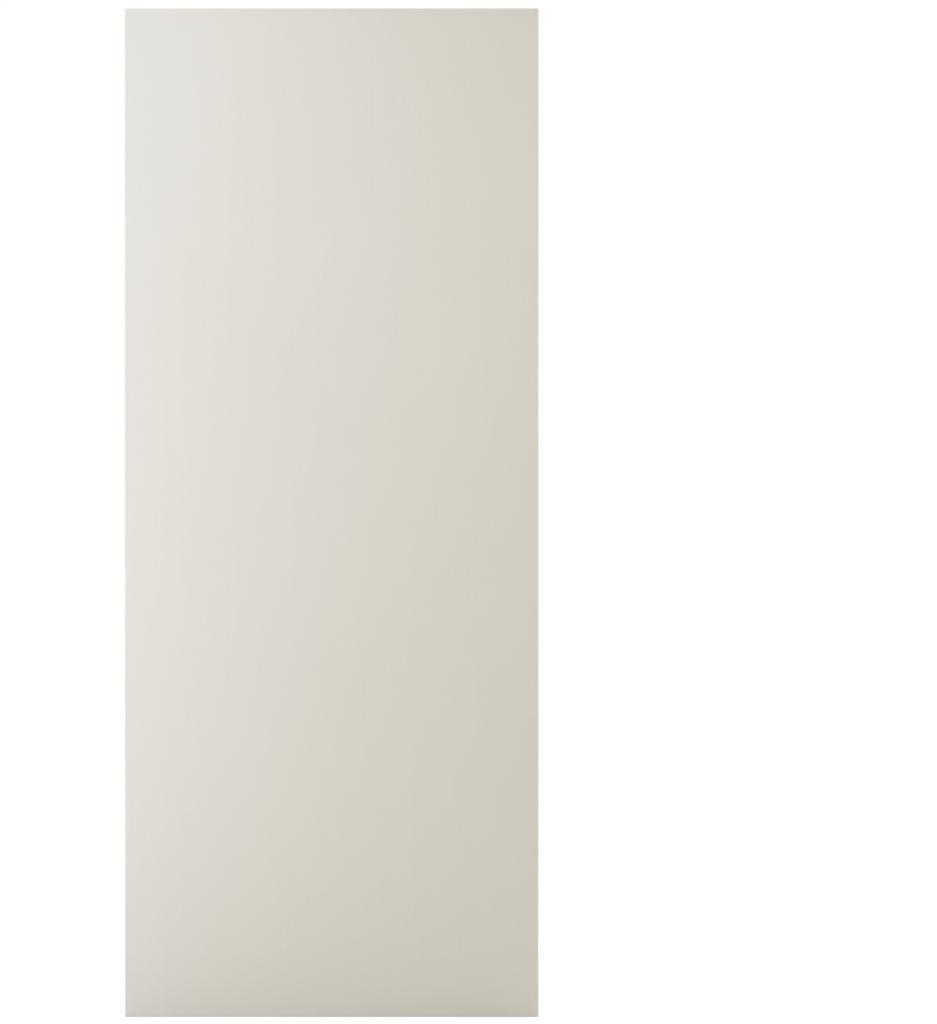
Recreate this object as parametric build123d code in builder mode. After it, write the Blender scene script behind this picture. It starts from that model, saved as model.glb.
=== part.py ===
"""Flush interior door leaf with a cellular core.

Two thin hardboard skins are glued over a softwood frame of two stiles and two rails. The space inside the
frame is filled with upright strips of kraft board, each bent to and fro and glued to its neighbours, so that
together they form six-sided cells. A block of softwood beside each stile, at mid-height, takes a latch or lock.

Row frame: millimetres, +Z up. The leaf stands in the XZ plane with its front skin towards -Y. The origin is on the
hinge edge (the plane X = 0), at the foot of the leaf and half way through its thickness, and the leaf runs to +X.
"""

from build123d import *
import os

# ---- leaf, overall ----
LEAF_W = 813.0  # across, along X
LEAF_H = 1981.0  # foot to head, along Z
LEAF_T = 35.0  # through, along Y

# ---- skins ----
SKIN_T = 3.2  # one hardboard sheet
ARRIS_R = 1.6  # eased outer corner of each skin, down both long edges of the leaf

# ---- softwood frame ----
CORE_T = LEAF_T - 2 * SKIN_T  # what the frame and the core fill between the skins
STILE_W = 23.0  # width of a stile, in the plane of the door
RAIL_H = 23.0  # height of a rail, cut from the same batten
CLEAR_W = LEAF_W - 2 * STILE_W  # between the stiles
CLEAR_H = LEAF_H - 2 * RAIL_H  # between the rails

# ---- cellular core ----
STRIPS = 40  # upright strips from stile to stile
PITCH = CLEAR_W / STRIPS  # one strip's share of the width: 19.2, as in the section
BOARD_T = 0.6  # wall of a cell
WAVES = 29  # whole waves of each strip between the rails
WAVE = CLEAR_H / WAVES
FLAT = WAVE / 3  # the length that is glued to the next strip
SLOPE = WAVE / 6  # the height that a slanting wall climbs

# ---- lock blocks ----
BLOCK_CELLS = 3  # strips that each block takes the place of
BLOCK_W = BLOCK_CELLS * PITCH
BLOCK_H = 400.0
BLOCK_Z = LEAF_H / 2  # centre height

os.makedirs("parts", exist_ok=True)
pieces = []


# ---- skins: one sheet each; the long edges are eased, and the head and the foot are left as sawn ----
with BuildPart() as front_skin:
    with BuildSketch(Plane.XZ.offset(LEAF_T / 2)):
        with Locations((LEAF_W / 2, LEAF_H / 2)):
            Rectangle(LEAF_W, LEAF_H)
    extrude(amount=-SKIN_T)
    fillet(front_skin.faces().sort_by(Axis.Y)[0].edges().filter_by(Axis.Z), radius=ARRIS_R)
front_skin.part.label = "front_skin"
pieces.append(front_skin.part)

with BuildPart() as back_skin:
    with BuildSketch(Plane.XZ.offset(-LEAF_T / 2)):
        with Locations((LEAF_W / 2, LEAF_H / 2)):
            Rectangle(LEAF_W, LEAF_H)
    extrude(amount=SKIN_T)
    fillet(back_skin.faces().sort_by(Axis.Y)[-1].edges().filter_by(Axis.Z), radius=ARRIS_R)
back_skin.part.label = "back_skin"
pieces.append(back_skin.part)


# ---- stiles: battens that run the whole height, so their end grain shows at the head and the foot ----
with BuildPart() as hinge_stile:
    with BuildSketch(Plane.XY):
        with Locations((STILE_W / 2, 0)):
            Rectangle(STILE_W, CORE_T)
    extrude(amount=LEAF_H)
hinge_stile.part.label = "hinge_stile"
pieces.append(hinge_stile.part)

with BuildPart() as lock_stile:
    with BuildSketch(Plane.XY):
        with Locations((LEAF_W - STILE_W / 2, 0)):
            Rectangle(STILE_W, CORE_T)
    extrude(amount=LEAF_H)
lock_stile.part.label = "lock_stile"
pieces.append(lock_stile.part)


# ---- rails: the same batten, cut to fit between the stiles ----
with BuildPart() as bottom_rail:
    with BuildSketch(Plane.YZ.offset(STILE_W)):
        with Locations((0, RAIL_H / 2)):
            Rectangle(CORE_T, RAIL_H)
    extrude(amount=CLEAR_W)
bottom_rail.part.label = "bottom_rail"
pieces.append(bottom_rail.part)

with BuildPart() as top_rail:
    with BuildSketch(Plane.YZ.offset(STILE_W)):
        with Locations((0, LEAF_H - RAIL_H / 2)):
            Rectangle(CORE_T, RAIL_H)
    extrude(amount=CLEAR_W)
top_rail.part.label = "top_rail"
pieces.append(top_rail.part)


# ---- lock blocks: one beside each stile, because the leaf can be hung either way round ----
with BuildPart() as hinge_side_lock_block:
    with BuildSketch(Plane.XZ):
        with Locations((STILE_W + BLOCK_W / 2, BLOCK_Z)):
            Rectangle(BLOCK_W, BLOCK_H)
    extrude(amount=CORE_T / 2, both=True)
hinge_side_lock_block.part.label = "hinge_side_lock_block"
pieces.append(hinge_side_lock_block.part)

with BuildPart() as lock_side_lock_block:
    with BuildSketch(Plane.XZ):
        with Locations((LEAF_W - STILE_W - BLOCK_W / 2, BLOCK_Z)):
            Rectangle(BLOCK_W, BLOCK_H)
    extrude(amount=CORE_T / 2, both=True)
lock_side_lock_block.part.label = "lock_side_lock_block"
pieces.append(lock_side_lock_block.part)


# ---- core strips: odd ones start against the strip on their left, even ones against the strip on their right ----
def bends(number):
    """The middle line of one strip, from the bottom rail to the top rail."""
    middle = STILE_W + (number - 0.5) * PITCH
    reach = (PITCH - BOARD_T) / 2
    side = -1 if number % 2 else 1
    points = [Vector(middle + side * reach, RAIL_H)]
    for wave in range(WAVES):
        foot = RAIL_H + wave * WAVE
        near, far = middle + side * reach, middle - side * reach
        points += [
            Vector(near, foot + FLAT / 2),
            Vector(far, foot + FLAT / 2 + SLOPE),
            Vector(far, foot + FLAT * 3 / 2 + SLOPE),
            Vector(near, foot + FLAT * 3 / 2 + 2 * SLOPE),
        ]
    return points + [Vector(middle + side * reach, RAIL_H + CLEAR_H)]


def beside(points, distance):
    """The same line set off to one side, its corners mitred."""
    runs = [(after - before).normalized() for before, after in zip(points, points[1:])]
    sides = [Vector(-run.Y, run.X) for run in runs]
    sides = [sides[0]] + sides + [sides[-1]]
    return [
        point + (one + other) * (distance / (1 + one.dot(other)))
        for point, one, other in zip(points, sides, sides[1:])
    ]


def upright(number):
    """One strip as a closed outline between its two faces."""
    line = bends(number)
    return Polyline(*beside(line, BOARD_T / 2), *reversed(beside(line, -BOARD_T / 2)), close=True)


# Two strips of the same shape, with one between them left out, are one node: 1 and 3, 2 and 4, 5 and 7, and so on.
for first in (number for number in range(1, STRIPS + 1) if (number - 1) % 4 < 2):
    pair = (first, first + 2)
    with BuildPart() as honeycomb:
        for number in pair:
            with BuildSketch(Plane.XZ):
                with BuildLine():
                    upright(number)
                make_face()
            extrude(amount=CORE_T / 2, both=True)
        # the lock blocks take the place of the strips beside the stiles
        if pair[0] <= BLOCK_CELLS or pair[1] > STRIPS - BLOCK_CELLS:
            with BuildSketch(Plane.XZ):
                with Locations(
                    (STILE_W + BLOCK_W / 2, BLOCK_Z),
                    (LEAF_W - STILE_W - BLOCK_W / 2, BLOCK_Z),
                ):
                    Rectangle(BLOCK_W, BLOCK_H)
            extrude(amount=CORE_T, both=True, mode=Mode.SUBTRACT)
    honeycomb.part.label = f"honeycomb_strips_{pair[0]:02d}_{pair[1]:02d}"
    pieces.append(honeycomb.part)


for piece in pieces:
    export_step(piece, f"parts/{piece.label}.step")
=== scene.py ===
"""The looks of a flush interior door leaf: satin off-white primer on hardboard skins, planed softwood edges with their
grain and end grain, and kraft board cells between the skins.

Metres, in the row frame: the hinge edge is the plane X = 0, the front skin faces -Y, the foot of the leaf is Z = 0.
"""

import math

import bpy
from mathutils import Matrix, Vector


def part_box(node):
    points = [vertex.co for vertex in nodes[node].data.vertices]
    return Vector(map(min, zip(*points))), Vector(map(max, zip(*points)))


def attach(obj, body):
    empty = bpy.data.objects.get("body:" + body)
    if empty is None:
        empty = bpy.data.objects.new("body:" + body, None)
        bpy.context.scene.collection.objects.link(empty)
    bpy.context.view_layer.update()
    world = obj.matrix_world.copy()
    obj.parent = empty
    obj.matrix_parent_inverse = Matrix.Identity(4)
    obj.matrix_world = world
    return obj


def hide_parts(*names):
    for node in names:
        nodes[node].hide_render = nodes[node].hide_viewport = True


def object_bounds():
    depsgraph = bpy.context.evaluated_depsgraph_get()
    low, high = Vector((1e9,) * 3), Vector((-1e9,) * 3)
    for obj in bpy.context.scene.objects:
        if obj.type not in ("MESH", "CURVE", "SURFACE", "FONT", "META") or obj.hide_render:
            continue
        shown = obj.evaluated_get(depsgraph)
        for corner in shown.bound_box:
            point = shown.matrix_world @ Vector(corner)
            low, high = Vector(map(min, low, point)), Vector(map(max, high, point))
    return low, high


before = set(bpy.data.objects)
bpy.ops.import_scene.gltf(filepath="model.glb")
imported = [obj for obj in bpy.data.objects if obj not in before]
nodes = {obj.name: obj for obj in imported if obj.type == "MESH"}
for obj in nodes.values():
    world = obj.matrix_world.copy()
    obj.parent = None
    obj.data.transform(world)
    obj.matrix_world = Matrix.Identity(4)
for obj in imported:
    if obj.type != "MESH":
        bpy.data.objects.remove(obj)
cad_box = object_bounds()
scene = bpy.context.scene

# ---- sizes of the leaf, read back from the frame ----
LO, HI = cad_box
WIDTH, THICK, HEIGHT = HI.x - LO.x, HI.y - LO.y, HI.z - LO.z
CORE_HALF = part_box("hinge_stile")[1].y  # half the thickness of the frame between the skins
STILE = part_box("hinge_stile")[1].x
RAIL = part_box("bottom_rail")[1].z


# ---------------------------------------------------------------- node helpers
class Tree:
    """A material's node tree, with short ways to add and join nodes."""

    def __init__(self, name):
        self.material = bpy.data.materials.new(name)
        self.material.use_nodes = True
        self.nodes = self.material.node_tree.nodes
        self.links = self.material.node_tree.links
        self.nodes.clear()
        self.out = self.nodes.new("ShaderNodeOutputMaterial")
        self.shader = self.nodes.new("ShaderNodeBsdfPrincipled")
        self.links.new(self.shader.outputs[0], self.out.inputs[0])
        self.place = self.nodes.new("ShaderNodeTexCoord").outputs["Object"]
        self.xyz = self.nodes.new("ShaderNodeSeparateXYZ")
        self.links.new(self.place, self.xyz.inputs[0])
        self.normal = self.nodes.new("ShaderNodeSeparateXYZ")
        self.links.new(self.nodes.new("ShaderNodeNewGeometry").outputs["Normal"], self.normal.inputs[0])

    def put(self, value, socket):
        if isinstance(value, bpy.types.NodeSocket):
            self.links.new(value, socket)
        else:
            socket.default_value = value

    def math(self, kind, a, b=0.0, c=0.0, clamp=False):
        n = self.nodes.new("ShaderNodeMath")
        n.operation, n.use_clamp = kind, clamp
        for value, socket in zip((a, b, c), n.inputs):
            self.put(value, socket)
        return n.outputs[0]

    def vector(self, x, y, z):
        n = self.nodes.new("ShaderNodeCombineXYZ")
        for value, socket in zip((x, y, z), n.inputs):
            self.put(value, socket)
        return n.outputs[0]

    def stretched(self, sx, sy, sz):
        """The place, with each direction counted in its own unit."""
        n = self.nodes.new("ShaderNodeVectorMath")
        n.operation = "MULTIPLY"
        self.links.new(self.place, n.inputs[0])
        n.inputs[1].default_value = (sx, sy, sz)
        return n.outputs[0]

    def noise(self, vector, scale=1.0, detail=2.0, rough=0.5, seed=0.0, distortion=0.0):
        n = self.nodes.new("ShaderNodeTexNoise")
        if seed:
            shift = self.nodes.new("ShaderNodeVectorMath")
            shift.operation = "ADD"
            self.links.new(vector, shift.inputs[0])
            shift.inputs[1].default_value = (seed * 7.31, seed * -3.17, seed * 5.93)
            vector = shift.outputs[0]
        self.links.new(vector, n.inputs["Vector"])
        n.inputs["Scale"].default_value = scale
        n.inputs["Detail"].default_value = detail
        n.inputs["Roughness"].default_value = rough
        n.inputs["Distortion"].default_value = distortion
        return n.outputs["Fac"]

    def ramp(self, fac, stops, smooth="EASE"):
        n = self.nodes.new("ShaderNodeValToRGB")
        n.color_ramp.interpolation = smooth
        while len(n.color_ramp.elements) < len(stops):
            n.color_ramp.elements.new(0.5)
        for e, (at, colour) in zip(n.color_ramp.elements, stops):
            e.position = at
        for e, (at, colour) in zip(n.color_ramp.elements, stops):
            e.color = (*colour, 1.0) if isinstance(colour, tuple) else (colour, colour, colour, 1.0)
        self.links.new(fac, n.inputs[0])
        return n.outputs[0]

    def between(self, value, low, high):
        """0 below low, 1 above high, smooth in between."""
        n = self.nodes.new("ShaderNodeMapRange")
        n.interpolation_type = "SMOOTHSTEP"
        self.put(value, n.inputs["Value"])
        n.inputs["From Min"].default_value = low
        n.inputs["From Max"].default_value = high
        return n.outputs[0]

    def mix(self, fac, a, b, kind="MIX"):
        n = self.nodes.new("ShaderNodeMix")
        n.data_type, n.blend_type = "RGBA", kind
        self.put(fac, n.inputs[0])
        for value, socket in ((a, n.inputs[6]), (b, n.inputs[7])):
            self.put((*value, 1.0) if isinstance(value, tuple) else value, socket)
        return n.outputs[2]

    def tint(self, colour, fac, low, high):
        """colour times a grey between low and high, led by fac from 0 to 1."""
        g = self.math("MULTIPLY_ADD", fac, high - low, low)
        return self.mix(1.0, colour, self.vector(g, g, g), "MULTIPLY")

    def bump(self, height, distance, strength=1.0, under=None):
        n = self.nodes.new("ShaderNodeBump")
        n.inputs["Strength"].default_value = strength
        n.inputs["Distance"].default_value = distance
        self.links.new(height, n.inputs["Height"])
        if under is not None:
            self.links.new(under, n.inputs["Normal"])
        return n.outputs[0]


# ---------------------------------------------------------------- hardboard skins
def primed_hardboard():
    """Satin primer on the face and round the eased corner; bare brown board on the sawn edges and the inside."""
    t = Tree("primed_hardboard")
    x, y, z = t.xyz.outputs
    away = t.math("ABSOLUTE", y)

    # primer: an even coat, a shade deeper where it lies thicker, with faint lengthwise lines from the coating rollers
    cloud = t.noise(t.place, 3.2, 3.0, 0.55, seed=1.0)
    drift = t.noise(t.stretched(1, 1, 0.25), 14.0, 2.0, 0.5, seed=4.0)
    lines = t.noise(t.stretched(240, 240, 2.4), 1.0, 2.0, 0.6, seed=2.0)
    speck = t.noise(t.place, 560.0, 2.0, 0.6, seed=3.0)
    stipple = t.noise(t.place, 1000.0, 3.0, 0.7, seed=12.0)
    paint = t.tint((0.725, 0.694, 0.615), cloud, 0.985, 1.015)
    paint = t.tint(paint, drift, 0.993, 1.007)
    paint = t.tint(paint, lines, 0.987, 1.013)
    paint = t.tint(paint, speck, 0.975, 1.025)
    paint = t.tint(paint, stipple, 0.930, 1.070)
    # painted highlight: the coat is drawn lighter in a ragged strip along the long edges, standing in for the light the
    # eased corner catches
    inset = t.math("SUBTRACT", WIDTH / 2, t.math("ABSOLUTE", t.math("SUBTRACT", x, WIDTH / 2)))
    painted_highlight_ragged = t.noise(t.stretched(700, 700, 60), 1.0, 4.0, 0.65, seed=11.0)
    painted_edge_highlight = t.math("SUBTRACT", 1.0, t.between(t.math("MULTIPLY_ADD", painted_highlight_ragged, 0.0026, inset), 0.0022, 0.0044))
    painted_edge_highlight = t.math("MULTIPLY", painted_edge_highlight, t.math("MULTIPLY_ADD", painted_highlight_ragged, 0.9, 0.45, clamp=True))
    # the painted highlight's colour, a shade lighter than the coat
    paint = t.mix(painted_edge_highlight, paint, (0.785, 0.765, 0.705))

    # bare board: pressed fibre, torn by the saw into fine light and dark marks across its thickness
    marks = t.noise(t.stretched(950, 130, 950), 1.0, 3.0, 0.65, seed=5.0)
    wide = t.noise(t.stretched(160, 60, 160), 1.0, 2.0, 0.5, seed=9.0)
    layers = t.noise(t.stretched(60, 4200, 60), 1.0, 2.0, 0.6, seed=6.0)
    bare = t.ramp(
        marks,
        [(0.28, (0.125, 0.088, 0.078)), (0.46, (0.200, 0.147, 0.136)), (0.60, (0.270, 0.205, 0.195)), (0.76, (0.420, 0.345, 0.335))],
    )
    bare = t.tint(bare, wide, 0.80, 1.20)
    bare = t.tint(bare, layers, 0.84, 1.16)

    # the coat turns the eased corner and ends there in an uneven line; at the head and the foot the board was sawn after coating
    wander = t.noise(t.place, 150.0, 4.0, 0.65, seed=7.0)
    edge = t.math("MULTIPLY_ADD", wander, 0.0008, away)
    coated = t.between(edge, THICK / 2 - 0.00125, THICK / 2 - 0.00100)
    sawn = t.between(t.math("ABSOLUTE", t.normal.outputs[2]), 0.5, 0.8)
    coated = t.math("MULTIPLY", coated, t.math("SUBTRACT", 1.0, sawn))

    t.links.new(t.mix(coated, bare, paint), t.shader.inputs["Base Color"])
    satin = t.math("MULTIPLY_ADD", cloud, 0.08, 0.40)
    t.links.new(t.math("MULTIPLY_ADD", coated, t.math("SUBTRACT", satin, 0.88), 0.88), t.shader.inputs["Roughness"])
    t.shader.inputs["IOR"].default_value = 1.48

    # the roller's stipple over a longer, faint orange peel in the coat, and loose fibre where the board is bare
    peel = t.noise(t.stretched(1, 1, 0.8), 300.0, 2.0, 0.5, seed=8.0)
    coat = t.math("MULTIPLY_ADD", peel, 0.45, t.math("MULTIPLY", stipple, 0.40))
    torn = t.math("MULTIPLY", t.math("ADD", marks, layers), t.math("SUBTRACT", 1.0, coated))
    t.links.new(t.bump(t.math("MULTIPLY_ADD", coat, coated, torn), 0.00014, 0.7), t.shader.inputs["Normal"])
    return t.material


# ---------------------------------------------------------------- softwood
def softwood(name, along, pith, ring=0.0026, seed=0.0):
    """Planed pine or spruce, with its growth rings round a pith line.

    along is the grain's direction, "x" or "z"; pith is the two other coordinates of the middle of the tree.
    """
    t = Tree(name)
    x, y, z = t.xyz.outputs
    if along == "z":
        a, b, run, end = x, y, z, t.normal.outputs[2]
        grain = lambda across, length: t.stretched(across, across, length)
    else:
        a, b, run, end = z, y, x, t.normal.outputs[0]
        grain = lambda across, length: t.stretched(length, across, across)

    # distance from the pith, which wanders along the tree, and rings of uneven width
    sway_a = t.noise(grain(6.0, 1.7), 1.0, 1.0, 0.5, seed=seed + 10.0)
    sway_b = t.noise(grain(6.0, 2.3), 1.0, 1.0, 0.5, seed=seed + 20.0)
    da = t.math("ADD", t.math("SUBTRACT", a, pith[0]), t.math("MULTIPLY_ADD", sway_a, 0.018, -0.009))
    db = t.math("ADD", t.math("SUBTRACT", b, pith[1]), t.math("MULTIPLY_ADD", sway_b, 0.012, -0.006))
    radius = t.math("SQRT", t.math("ADD", t.math("MULTIPLY", da, da), t.math("MULTIPLY", db, db)))
    rough = t.noise(grain(260.0, 9.0), 1.0, 2.0, 0.6, seed=seed + 30.0)
    uneven = t.noise(t.vector(t.math("MULTIPLY", radius, 90.0), 0.0, 0.0), 1.0, 1.0, 0.5, seed=seed + 40.0)
    count = t.math("MULTIPLY", radius, 1.0 / ring)
    count = t.math("ADD", count, t.math("MULTIPLY_ADD", rough, 0.30, -0.15))
    count = t.math("ADD", count, t.math("MULTIPLY_ADD", uneven, 1.6, -0.8))
    year = t.math("FRACT", count)

    # pale wide earlywood that turns to a thin amber latewood line and stops at once, with a fainter line or two between
    wood = t.ramp(
        year,
        [
            (0.0, (0.740, 0.595, 0.395)),
            (0.30, (0.705, 0.555, 0.355)),
            (0.62, (0.645, 0.490, 0.295)),
            (0.86, (0.520, 0.365, 0.200)),
            (0.95, (0.440, 0.290, 0.150)),
            (1.0, (0.680, 0.530, 0.335)),
        ],
        "LINEAR",
    )
    weeks = t.noise(t.vector(t.math("MULTIPLY", radius, 1700.0), t.math("MULTIPLY", rough, 1.8), seed), 1.0, 3.0, 0.65)
    wood = t.tint(wood, weeks, 0.84, 1.16)
    fibre = t.noise(grain(1500.0, 16.0), 1.0, 4.0, 0.70, seed=seed + 50.0)
    thread = t.noise(grain(520.0, 6.0), 1.0, 3.0, 0.65, seed=seed + 55.0)
    streak = t.noise(grain(160.0, 3.0), 1.0, 2.0, 0.6, seed=seed + 60.0)
    wood = t.tint(wood, fibre, 0.66, 1.34)
    wood = t.tint(wood, thread, 0.84, 1.16)
    wood = t.tint(wood, streak, 0.90, 1.10)
    # resin canals: short dark hairs along the grain
    canal = t.between(t.noise(grain(2100.0, 60.0), 1.0, 2.0, 0.5, seed=seed + 70.0), 0.67, 0.76)
    wood = t.mix(t.math("MULTIPLY", canal, 0.42), wood, (0.33, 0.20, 0.095))

    # cross-cut ends drink more light, and show pores and the saw's marks
    cut = t.between(t.math("ABSOLUTE", end), 0.6, 0.9)
    pores = t.noise(t.place, 2400.0, 2.0, 0.7, seed=seed + 80.0)
    saw = t.noise(t.stretched(900, 30, 900) if along == "z" else t.stretched(30, 30, 900), 1.0, 2.0, 0.6, seed=seed + 90.0)
    dark = t.mix(1.0, wood, (0.80, 0.74, 0.66), "MULTIPLY")
    dark = t.tint(dark, pores, 0.78, 1.18)
    dark = t.tint(dark, saw, 0.90, 1.08)
    wood = t.mix(cut, wood, dark)

    # the glue line against each skin
    glue = t.between(t.math("ABSOLUTE", y), CORE_HALF - 0.00045, CORE_HALF - 0.00012)
    wood = t.mix(t.math("MULTIPLY", glue, 0.55), wood, (0.34, 0.225, 0.125))

    t.links.new(wood, t.shader.inputs["Base Color"])
    dull = t.math("MULTIPLY_ADD", year, -0.10, 0.66)
    t.links.new(t.math("MULTIPLY_ADD", cut, 0.16, dull), t.shader.inputs["Roughness"])
    t.shader.inputs["IOR"].default_value = 1.45

    lift = t.math("MULTIPLY_ADD", year, 0.5, t.math("MULTIPLY", fibre, 0.6))
    lift = t.math("ADD", lift, t.math("MULTIPLY", t.math("MULTIPLY", pores, cut), 0.9))
    t.links.new(t.bump(lift, 0.00012, 0.7), t.shader.inputs["Normal"])
    return t.material


# ---------------------------------------------------------------- kraft board
def kraft_board():
    """Unbleached board: warm brown with long fibres and specks of bark."""
    t = Tree("kraft_board")
    x, y, z = t.xyz.outputs
    cloud = t.noise(t.stretched(1, 1, 1), 24.0, 3.0, 0.6, seed=1.0)
    fibre = t.noise(t.stretched(700, 260, 700), 1.0, 4.0, 0.7, seed=2.0)
    speck = t.between(t.noise(t.stretched(1, 1, 1), 1500.0, 2.0, 0.5, seed=3.0), 0.70, 0.76)
    ribs = t.noise(t.stretched(30, 1300, 30), 1.0, 2.0, 0.5, seed=4.0)
    board = t.ramp(cloud, [(0.3, (0.430, 0.300, 0.185)), (0.7, (0.540, 0.400, 0.265))])
    board = t.tint(board, fibre, 0.80, 1.20)
    board = t.tint(board, ribs, 0.93, 1.07)
    board = t.mix(t.math("MULTIPLY", speck, 0.6), board, (0.20, 0.12, 0.065))
    t.links.new(board, t.shader.inputs["Base Color"])
    t.links.new(t.math("MULTIPLY_ADD", fibre, 0.12, 0.78), t.shader.inputs["Roughness"])
    t.links.new(t.bump(fibre, 0.00008, 0.6), t.shader.inputs["Normal"])
    return t.material


def dress(name, material):
    o = nodes[name]
    o.data.materials.clear()
    o.data.materials.append(material)
    return o


skin = primed_hardboard()
dress("front_skin", skin)
dress("back_skin", skin)
dress("hinge_stile", softwood("softwood_hinge_stile", "z", (STILE - 0.001, 0.004), seed=1.0))
dress("lock_stile", softwood("softwood_lock_stile", "z", (WIDTH - STILE - 0.004, -0.006), seed=2.0))
dress("top_rail", softwood("softwood_top_rail", "x", (HEIGHT - RAIL - 0.006, -0.003), seed=3.0))
dress("bottom_rail", softwood("softwood_bottom_rail", "x", (RAIL + 0.005, 0.005), seed=4.0))
dress("hinge_side_lock_block", softwood("softwood_hinge_side_block", "z", (0.095, 0.020), seed=5.0))
dress("lock_side_lock_block", softwood("softwood_lock_side_block", "z", (WIDTH - 0.090, -0.022), seed=6.0))

# ---------------------------------------------------------------- the core, as one piece
strips = sorted(n for n in nodes if n.startswith("honeycomb_strips_"))
parts = []
for n in strips:
    copy = nodes[n].copy()
    copy.data = nodes[n].data.copy()
    for key in list(copy.keys()):
        del copy[key]
    copy.parent = None
    scene.collection.objects.link(copy)
    parts.append(copy)
with bpy.context.temp_override(active_object=parts[0], selected_editable_objects=parts):
    bpy.ops.object.join()
core = parts[0]
core.name = core.data.name = "honeycomb_core"
core.data.materials.clear()
core.data.materials.append(kraft_board())
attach(core, "root")
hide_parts(*strips)

# ---------------------------------------------------------------- floor, sky, lights, camera
mesh = bpy.data.meshes.new("floor")
R = 60.0
mesh.from_pydata([(-R, -R, 0), (R, -R, 0), (R, R, 0), (-R, R, 0)], [], [(0, 1, 2, 3)])
floor = bpy.data.objects.new("floor", mesh)
floor.location.z = -0.0004
scene.collection.objects.link(floor)
pale = Tree("pale_floor")
# the floor throws a plain white light up on the leaf; seen straight on, it is cooled against the warm sky and a little
# brighter, as a lit sweep is, so that it looks white with only a faint shadow at the foot
straight = pale.nodes.new("ShaderNodeLightPath").outputs["Is Camera Ray"]
mottle = pale.noise(pale.stretched(1, 1, 1), 5.0, 3.0, 0.6)
pale.links.new(
    pale.tint(pale.mix(straight, (0.90, 0.90, 0.895), (0.800, 0.814, 0.893)), mottle, 0.99, 1.0), pale.shader.inputs["Base Color"]
)
pale.shader.inputs["Roughness"].default_value = 0.8
pale.shader.inputs["Emission Color"].default_value = (1.0, 1.0, 1.02, 1.0)
pale.links.new(pale.math("MULTIPLY", straight, 0.33), pale.shader.inputs["Emission Strength"])
mesh.materials.append(pale.material)

world = bpy.data.worlds.new("studio")
scene.world = world
world.use_nodes = True
sky = world.node_tree
sky.nodes.clear()
out = sky.nodes.new("ShaderNodeOutputWorld")
seen = sky.nodes.new("ShaderNodeBackground")
seen.inputs["Color"].default_value = (1.0, 1.0, 1.0, 1.0)
seen.inputs["Strength"].default_value = 1.01
lit = sky.nodes.new("ShaderNodeBackground")
lit.inputs["Color"].default_value = (1.0, 0.972, 0.861, 1.0)
lit.inputs["Strength"].default_value = 0.363
which = sky.nodes.new("ShaderNodeLightPath")
both = sky.nodes.new("ShaderNodeMixShader")
sky.links.new(which.outputs["Is Camera Ray"], both.inputs[0])
sky.links.new(lit.outputs[0], both.inputs[1])
sky.links.new(seen.outputs[0], both.inputs[2])
sky.links.new(both.outputs[0], out.inputs[0])


def softbox(name, at, towards, wide, high, power, colour=(1.0, 1.0, 1.0), spread=180.0):
    light = bpy.data.lights.new(name, "AREA")
    light.shape, light.size, light.size_y = "RECTANGLE", wide, high
    light.energy, light.color, light.spread = power, colour, math.radians(spread)
    o = bpy.data.objects.new(name, light)
    o.visible_camera = False
    o.location = at
    o.rotation_euler = (Vector(towards) - Vector(at)).to_track_quat("-Z", "Z").to_euler()
    scene.collection.objects.link(o)
    return o


def sun(name, towards, strength, angle, colour=(1.0, 1.0, 1.0)):
    light = bpy.data.lights.new(name, "SUN")
    light.energy, light.angle, light.color = strength, angle, colour
    o = bpy.data.objects.new(name, light)
    o.rotation_euler = Vector(towards).to_track_quat("-Z", "Y").to_euler()
    scene.collection.objects.link(o)
    return o


# a warm sky overhead that the floor throws back up, and cool boxes at the left, high up and low down
sun("overhead", (0.0, 0.0, -1.0), 1.70, math.radians(30), (1.0, 0.972, 0.861))
softbox("key_left", (-0.595, -1.359, 0.811), (-0.257, 0.0, 1.238), 0.3, 1.82, 5.43, (0.747, 0.779, 1.0), 130.0)
softbox("key_top", (-0.26, -1.527, 2.442), (-0.2, 0.0, 0.98), 0.81, 1.05, 7.02, (0.701, 0.787, 1.0), 136.0)
softbox("fill_right", (1.47, -1.685, 1.904), (0.63, 0.0, 1.9), 0.74, 1.8, 1.22, (0.894, 0.855, 1.0), 91.0)
# behind the leaf: a rim down the lock edge, and a fill for the back
softbox("rim_right", (2.4, 0.42, 1.2), (0.813, 0.0, 1.0), 0.6, 2.2, 17.0, (0.93, 0.96, 1.0))
softbox("fill_back", (-1.3, 2.5, 1.7), (0.35, 0.0, 1.0), 1.2, 1.8, 29.0, (0.72, 0.755, 1.0))

cam_data = bpy.data.cameras.new("camera")
cam_data.lens, cam_data.sensor_width, cam_data.sensor_fit = 85.0, 36.0, "AUTO"
cam_data.clip_start, cam_data.clip_end = 0.05, 200.0
camera = bpy.data.objects.new("camera", cam_data)
camera.location = (0.6752, LO.y - 4.7497, 0.9917)
camera.rotation_euler = (math.radians(90.0), 0.0, 0.0)
scene.collection.objects.link(camera)
scene.camera = camera

scene.view_settings.view_transform = "Standard"
scene.view_settings.look = "None"
scene.view_settings.exposure = 0.0
scene.view_settings.gamma = 1.0
